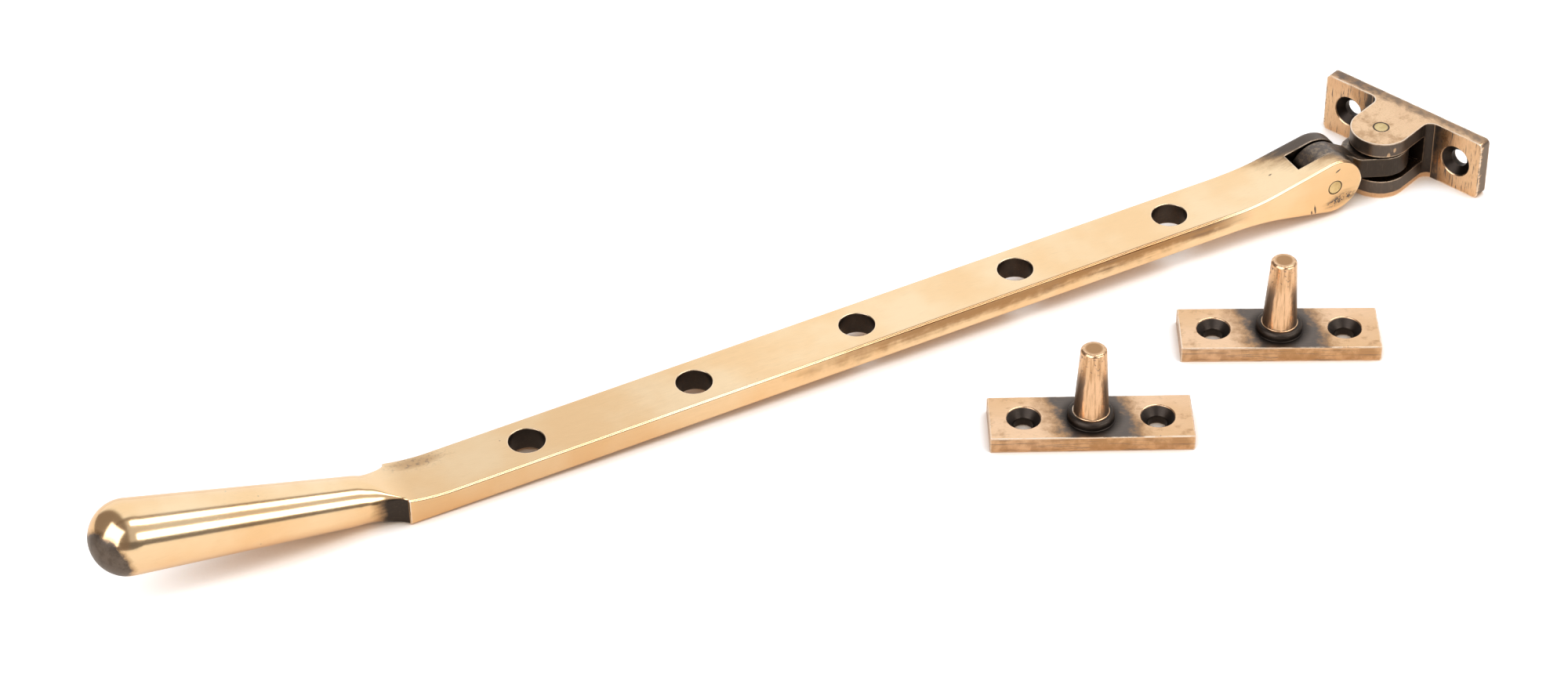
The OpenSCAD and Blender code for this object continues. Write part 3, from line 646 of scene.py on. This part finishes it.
def pin_ageing(s):
    """Where a stay pin's casting stayed dark, where it has a thin brown film, and where it is blackest."""
    add = s.add
    collar_top, peg_top = PIN_T + COLLAR_H, PIN_T + PEG_H
    # A soft cloudy band across the plate round the collar, where the wheel couldn't pass the peg
    aslant = add("Math", s.y, 0.2, s.x, **SPREAD)
    middle = add("Math", add("Math", aslant, 0.4, **MINUS), **SIZE)
    border = add("Math", add("Math", s.blotch, 0.5, **MINUS), 9.0, middle, **SPREAD)
    on_top = add("MapRange", s.upward, 0.5, 0.75, **SMOOTH)
    low = add("MapRange", s.z, PIN_T + 1.0, PIN_T + 0.6, **SMOOTH)
    on_top = add("Math", on_top, low, **TIMES)
    band = add("Math", add("MapRange", border, 9.6, 6.2, **SMOOTH), on_top, **TIMES)
    band_film = add("Math", add("MapRange", border, 12.5, 8.0, 0.0, 0.7, **SMOOTH), on_top, **TIMES)
    clouds = add("Math", add("MapRange", s.blotch, 0.52, 0.72, 0.0, 0.45, **SMOOTH), on_top, **TIMES)
    # All of the collar but its upper rim; blackest in the corner at its foot
    away = s.off_axis(s.x, s.y)
    collar = add("MapRange", away, COLLAR_D / 2 + 0.9, COLLAR_D / 2 + 0.3, **SMOOTH)
    for part in (add("MapRange", s.z, collar_top + 0.25, collar_top + 0.1, **SMOOTH),
                 add("MapRange", s.z, PIN_T - 0.3, PIN_T - 0.05, **SMOOTH)):
        collar = add("Math", collar, part, **TIMES)
    shelf = add("Math", add("Math", away, PEG_FOOT_R + 0.2, **MINUS), **SIZE)
    shelf = add("Math", add("MapRange", shelf, 0.3, 0.12, **SMOOTH),
                add("MapRange", s.z, collar_top - 0.15, collar_top - 0.03, **SMOOTH), **TIMES)
    collar = add("Math", collar, add("Math", shelf, -0.95, 1.0, **SPREAD), **TIMES)
    near_collar = add("MapRange", away, COLLAR_D / 2 + 2.6, COLLAR_D / 2 + 0.4, 0.0, 0.85, **SMOOTH)
    # Stains down both flanks of the peg, widest at its foot, and specks round its top
    height = add("Math", s.z, collar_top, **MINUS)
    flank = add("Math", add("Math", s.x, **SIZE), add("Math", height, -0.07, 2.85, **SPREAD), **MINUS)
    stain = add("MapRange", add("Math", s.ragged, 1.8, flank, **SPREAD), -0.9, 0.1, 0.0, 0.88, **SMOOTH)
    on_peg = add("Math", add("MapRange", s.z, collar_top, collar_top + 0.2, **SMOOTH),
                 add("MapRange", s.z, peg_top - 3.0, peg_top - 9.0, **SMOOTH), **TIMES)
    stain = add("Math", stain, on_peg, **TIMES)
    specks = add("MapRange", s.fleck, 0.56, 0.64, 0.0, 0.8, **SMOOTH)
    for part in (add("MapRange", s.z, peg_top - 6.5, peg_top - 3.5, **SMOOTH),
                 add("MapRange", s.z, peg_top - 0.3, peg_top - 1.0, **SMOOTH)):
        specks = add("Math", specks, part, **TIMES)
    # Brown in the middle of the peg's flat end, and in smears up its sides
    tip = add("Math", add("MapRange", s.z, peg_top - 0.2, peg_top - 0.05, 0.0, 0.75, **SMOOTH),
              s.within(s.x, s.y, 1.5, 0.8), **TIMES)
    peg_film = add("Math", add("MapRange", s.smear, 0.44, 0.62, 0.0, 0.5, **SMOOTH),
                   add("MapRange", s.z, collar_top + 0.2, collar_top + 1.0, **SMOOTH), **TIMES)
    # The plate's sides are brown all over, with darker streaks
    sides = add("Math", add("MapRange", s.upward, 0.5, 0.3, **SMOOTH),
                add("MapRange", s.z, PIN_T - 0.1, PIN_T - 0.3, **SMOOTH), **TIMES)
    side_dark = add("Math", sides, add("MapRange", s.smear, 0.5, 0.66, 0.05, 0.6, **SMOOTH), **TIMES)
    side_film = add("Math", sides, add("MapRange", s.blotch, 0.36, 0.6, 0.2, 0.6, **SMOOTH), **TIMES)
    holes = sunk_holes(s, s.x, s.y, PIN_SCREWS, s.z, PIN_T)
    black = s.most(add("Math", collar, 0.8, **TIMES), add("Math", holes, 0.8, **TIMES),
                   add("Math", add("Math", near_collar, on_top, **TIMES), 0.8, **TIMES))
    film = s.most(band_film, clouds, peg_film, side_film, tip)
    return s.most(band, collar, stain, specks, side_dark, holes), film, black


def link_ageing(s):
    """The link's tongues are never polished: dark all over, and blackest on their upright faces."""
    add = s.add
    everywhere = add("Math", s.lines, 0.0, 1.0, **SPREAD)
    upright = add("MapRange", s.upward, 0.7, 0.25, 0.0, 0.7, **SMOOTH)
    worn = add("Math", add("MapRange", s.fleck, 0.45, 0.62, 0.0, 0.18, **SMOOTH),
               add("MapRange", s.upward, 0.3, 0.7, **SMOOTH), **TIMES)
    return add("Math", everywhere, worn, **MINUS), worn, upright


def rivet_brass(name, place):
    """Yellow brass filed flush: a little paler and yellower than the bronze, with file marks one way."""
    material = bpy.data.materials.new(name)
    add = filler(material)
    s = Surface(add, place, (0.4, 5.0, 5.0))
    tone = add("MapRange", s.blotch, 0.35, 0.65, **SMOOTH)
    colour = add("Mix", tone, hex_colour("#E6CD98"), hex_colour("#CDB27C"), **COLOUR)
    bump = add("Bump", dict(Strength=0.3, Distance=0.02 * MM, Height=s.lines))
    gloss = add("MapRange", s.lines, 0.2, 0.8, 0.22, 0.36, **SMOOTH)
    shader = add("BsdfPrincipled", {"Base Color": colour, "Metallic": 1.0, "Roughness": gloss,
                                    "Normal": bump})
    add("OutputMaterial", dict(Surface=shader), out=None)
    return material


def dress(piece, material):
    """Gives a whole piece one material."""
    piece.data.materials.clear()
    piece.data.materials.append(material)


# ---------------------------------------------------------------- table, light and camera
TABLE_MIDDLE, TABLE_HALF = (-150, 0, REST_Z), 3000.0
# As the bronze mirrors it, the card is tinted warm: painted bounce light from the bronze
CARD, CARD_MIRRORED_BOUNCE_TINT = "#E8E8E8", "#E8E0D6"
# Painted shadow close under the castings, warm as with light that comes back from them, out to 8 mm
CARD_PAINTED_SHADE, CARD_SHADE_REACH = "#DAC6B0", 8.0
# How far the card is lifted towards plain white, as the camera sees it and as the bronze mirrors it
CARD_LIFT_SEEN, CARD_LIFT_MIRRORED = 0.42, 0.09

# The camera, solved from the arm's evenly spaced holes: place in mm, directions, and lens in mm
CAMERA_AT = Vector((-758.37, -471.61, 633.49))
CAMERA_RIGHT, CAMERA_LOOK = Vector((0.65709, -0.75381, -0.00265)), Vector((0.59109, 0.51741, -0.61879))
LENS, SENSOR_W = 107.76, 36.0

# The handle's own axis, towards its end, and the two directions square to it
HANDLE_WAY = ARM_PLACE.to_3x3() @ Vector((-cos(radians(CRANK_DEG)), 0, sin(radians(CRANK_DEG))))
NEAR_WAY = Vector((-sin(radians(SWING_DEG)), -cos(radians(SWING_DEG)), 0))
OVER_WAY = HANDLE_WAY.cross(NEAR_WAY)
STAY_MIDDLE = Vector((-0.2, 0.07, 0.005))       # what the softboxes point at, in metres

# Light of the room as the bronze mirrors it, as red, green, blue and alpha
ROOM = (1.06, 1.09, 1.14, 1.0)
PAST_END, WINDOW = (0.22, 0.18, 0.16, 1.0), (2.8, 2.8, 2.9, 1.0)
# Its strips along the arm: from and to in degrees, half the width of the soft border, and light
STRIPS = (
    (-30.0, 90.0, 1.5, (0.62, 0.6, 0.6, 1.0)),      # the camera's side
    (86.5, 96.0, 2.0, (0.3, 0.27, 0.25, 1.0)),      # a beam overhead
    (-3.0, 22.0, 3.0, (0.17, 0.16, 0.16, 1.0)),     # low down on that side
)


def make_table():
    """Matt white card, lifted to plain white where the camera or a reflection sees it."""
    bm = bmesh.new()
    bmesh.ops.create_grid(bm, x_segments=8, y_segments=8, size=TABLE_HALF)
    floor = mesh_object("table_top", bm, Matrix.Translation(TABLE_MIDDLE))
    material = bpy.data.materials.new("white card")
    add = filler(material)
    ray = add("LightPath", out=None)
    seen, mirrored = ray.outputs["Is Camera Ray"], ray.outputs["Is Glossy Ray"]
    # Painted shadow: close under the castings the card isn't lifted, and takes the warm shaded colour
    clear = add("AmbientOcclusion", dict(Distance=CARD_SHADE_REACH * MM), out="AO", samples=8)
    clear = add("MapRange", clear, 0.25, 0.88, **SMOOTH)
    lift = add("Math", add("Math", seen, clear, **TIMES), CARD_LIFT_SEEN,
               add("Math", mirrored, CARD_LIFT_MIRRORED, **TIMES), **SPREAD)
    # In reflections the card takes its warm tint, painted bounce light from the bronze
    plain = add("Mix", mirrored, hex_colour(CARD), hex_colour(CARD_MIRRORED_BOUNCE_TINT), **COLOUR)
    card = add("BsdfDiffuse", add("Mix", clear, hex_colour(CARD_PAINTED_SHADE), plain, **COLOUR))
    glow = add("Emission", (1.0, 1.0, 1.0, 1.0), lift)
    add("OutputMaterial", dict(Surface=add("AddShader", card, glow)), out=None)
    dress(floor, material)


def make_world():
    """A pale room: white behind the stay, dimmer on the camera's side, and darkest low down there.

    Angles go round the arm: 0 is level on the camera's side, and a quarter turn is overhead."""
    world = bpy.data.worlds.new("pale studio")
    bpy.context.scene.world = world
    add = filler(world)
    way = add("TexCoord", out="Generated")
    over, near, end = [add("VectorMath", way, axis, **DOT) for axis in (OVER_WAY, NEAR_WAY, HANDLE_WAY)]
    turn = add("Math", over, near, operation="ARCTAN2")
    level = ROOM
    for low, high, soft, light in STRIPS:
        strip = add("Math", add("MapRange", turn, radians(low - soft), radians(low + soft), **SMOOTH),
                    add("MapRange", turn, radians(high + soft), radians(high - soft), **SMOOTH), **TIMES)
        level = add("Mix", strip, level, light, **COLOUR)
    # Past the handle's end the room is dim and brown, which shades the dome, but for one window that is
    # 31 degrees off the handle's axis and 61 degrees up from level
    past_end = add("MapRange", end, 0.16, 0.34, 0.0, 0.92, **SMOOTH)
    level = add("Mix", past_end, level, PAST_END, **COLOUR)
    pane = 0.86 * HANDLE_WAY + 0.51 * (cos(radians(61)) * NEAR_WAY + sin(radians(61)) * OVER_WAY)
    sideways = pane.cross(Vector((0, 0, 1))).normalized()
    upwards = sideways.cross(pane).normalized()
    off = [add("Math", add("VectorMath", way, axis, **DOT), **SIZE) for axis in (sideways, upwards)]
    window = add("MapRange", add("Math", *off, **MOST), 0.44, 0.39, **SMOOTH)
    ahead = add("MapRange", add("VectorMath", way, pane, **DOT), 0.5, 0.6, **SMOOTH)
    level = add("Mix", add("Math", window, ahead, **TIMES), level, WINDOW, **COLOUR)
    seen = add("LightPath", out="Is Camera Ray")
    back = add("Background", add("Mix", seen, level, (1.0, 1.0, 1.0, 1.0), **COLOUR), 1.0)
    add("OutputWorld", dict(Surface=back), out=None)


def softbox(name, round_deg, shift, width, length, radiance, distance=1.1):
    """A softbox lying along the handle's line, round_deg up from level and shifted towards the bracket."""
    turn = radians(round_deg)
    out = cos(turn) * NEAR_WAY + sin(turn) * OVER_WAY
    back = (out - shift * HANDLE_WAY).normalized()
    at = STAY_MIDDLE + distance * back
    light = bpy.data.lights.new(name, "AREA")
    light.shape = "RECTANGLE"
    light.size, light.size_y = width, length
    light.energy = radiance * pi * width * length
    lamp = bpy.data.objects.new(name, light)
    long_side = (HANDLE_WAY - HANDLE_WAY.dot(back) * back).normalized()
    short_side = long_side.cross(back)
    lamp.matrix_world = Matrix((
        (short_side.x, long_side.x, back.x, at.x), (short_side.y, long_side.y, back.y, at.y),
        (short_side.z, long_side.z, back.z, at.z), (0, 0, 0, 1)))
    bpy.context.scene.collection.objects.link(lamp)


def make_camera():
    """The photograph's own view."""
    data = bpy.data.cameras.new("photo camera")
    data.sensor_fit = "HORIZONTAL"
    data.sensor_width = SENSOR_W
    data.lens = LENS
    data.clip_start, data.clip_end = 0.05, 20.0
    camera = bpy.data.objects.new("photo camera", data)
    back = -CAMERA_LOOK.normalized()
    right = (CAMERA_RIGHT - CAMERA_RIGHT.dot(back) * back).normalized()
    up = back.cross(right)
    at = CAMERA_AT * MM
    camera.matrix_world = Matrix(((right.x, up.x, back.x, at.x), (right.y, up.y, back.y, at.y),
                                  (right.z, up.z, back.z, at.z), (0, 0, 0, 1)))
    bpy.context.scene.collection.objects.link(camera)
    bpy.context.scene.camera = camera


make_camera()
dress(make_arm(), old_bronze("polished bronze, arm", ARM_PLACE, arm_ageing))

RUBBED_MM = dict(link=0.3, bracket=0.45, stay_pin_1=0.55, stay_pin_2=0.55, lift_rivet=0.1, swing_rivet=0.1)
for name, width in RUBBED_MM.items():
    rub_edges(nodes[name], width)

dress(nodes["link"], old_bronze(
    "dark bronze, link", LINK_PLACE, link_ageing, lines=(1.0, 1.0, 0.12), rims=0.45))
dress(nodes["bracket"], old_bronze(
    "polished bronze, bracket", Matrix.Identity(4), bracket_ageing, bright="#EFC9A0", tint="#E0B790",
    streaks=0.4, rough=0.2, lines=(0.8, 0.5, 0.16), grain=0.4, rims=0.8))
for name, (along, across, turn) in PINS.items():
    place = (LINK_PLACE @ Matrix.Translation((along, across, -LIFT_H))
             @ Matrix.Rotation(radians(turn), 4, "Z"))
    dress(nodes[name], old_bronze(
        "polished bronze, " + name, place, pin_ageing, bright="#F3CBA4", tint="#E6BA8C", streaks=0.2,
        rough=0.2, lines=(0.1, 1.1, 1.7), grain=0.3, upright_from=PIN_T + COLLAR_H))
dress(nodes["lift_rivet"], rivet_brass("filed brass, lift rivet", ARM_PLACE))
dress(nodes["swing_rivet"], rivet_brass("filed brass, swing rivet", Matrix.Identity(4)))

make_table()
make_world()
softbox("overhead softbox", round_deg=75.5, shift=0.3, width=0.28, length=1.02, radiance=4.0)
softbox("front softbox", round_deg=34.0, shift=0.45, width=0.33, length=0.85, radiance=4.0)

bpy.context.scene.view_settings.view_transform = "Standard"
